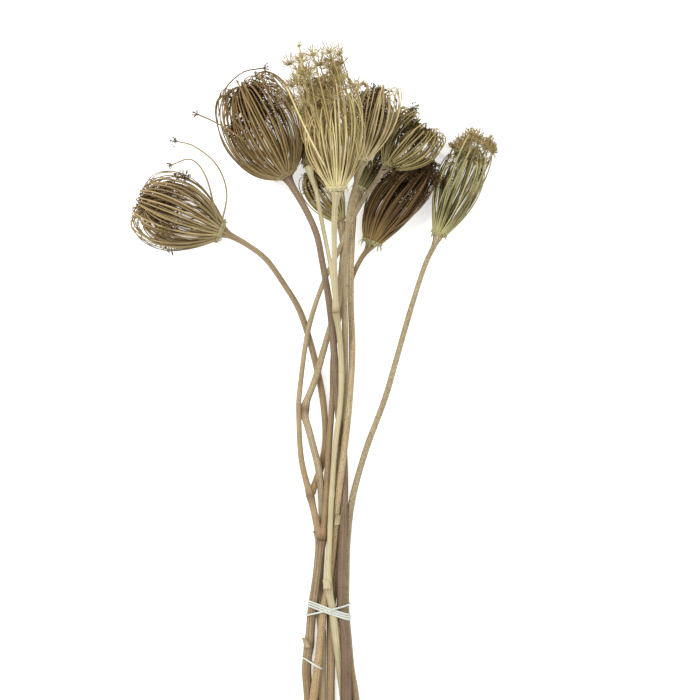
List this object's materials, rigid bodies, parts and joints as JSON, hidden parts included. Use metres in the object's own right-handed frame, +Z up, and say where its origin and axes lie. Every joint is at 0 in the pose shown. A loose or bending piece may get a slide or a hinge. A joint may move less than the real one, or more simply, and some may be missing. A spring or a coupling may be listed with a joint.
{
  "type": "dried bishops flower bunch",
  "caption": "Tied bunch of dried bird's-nest umbels on long cut stems, lying on its side; curled ray cages with packed umbellets, held by elastic ties.",
  "frame": {"origin": "middle of the footprint, on the surface that the bunch lies on", "axes": "+Y along the stems from the cut ends to the umbels, +Z up, +X to the right seen from above"},
  "size_m": [0.295, 0.5783, 0.1225],
  "materials": {
    "umbel_left": "dry, matt",
    "umbel_upper_left": "dry, matt",
    "umbel_back_left": "dry, matt",
    "umbel_front": "dry, matt",
    "umbel_middle": "dry, matt",
    "umbel_fan": "dry, matt",
    "umbel_hidden": "dry, matt",
    "umbel_almond": "dry, matt",
    "umbel_right": "dry, matt",
    "umbel_low": "dry, matt",
    "stem_forked_left": "dry, matt",
    "stem_forked_front": "dry, matt",
    "stem_upper_left": "dry, matt",
    "stem_middle": "dry, matt",
    "stem_hidden": "dry, matt",
    "stem_right": "dry, matt",
    "stem_low": "dry, matt",
    "elastic": "white, slightly fuzzy"
  },
  "bodies": {
    "root": {"umbel_left": "umbel_left", "umbel_upper_left": "umbel_upper_left", "umbel_back_left": "umbel_back_left", "umbel_front": "umbel_front", "umbel_middle": "umbel_middle", "umbel_fan": "umbel_fan", "umbel_hidden": "umbel_hidden", "umbel_almond": "umbel_almond", "umbel_right": "umbel_right", "umbel_low": "umbel_low", "stem_forked_left": "stem_forked_left", "stem_forked_front": "stem_forked_front", "stem_upper_left": "stem_upper_left", "stem_middle": "stem_middle", "stem_hidden": "stem_hidden", "stem_right": "stem_right", "stem_low": "stem_low", "upper_tie": "elastic", "lower_tie": "elastic"}
  },
  "joints": []
}
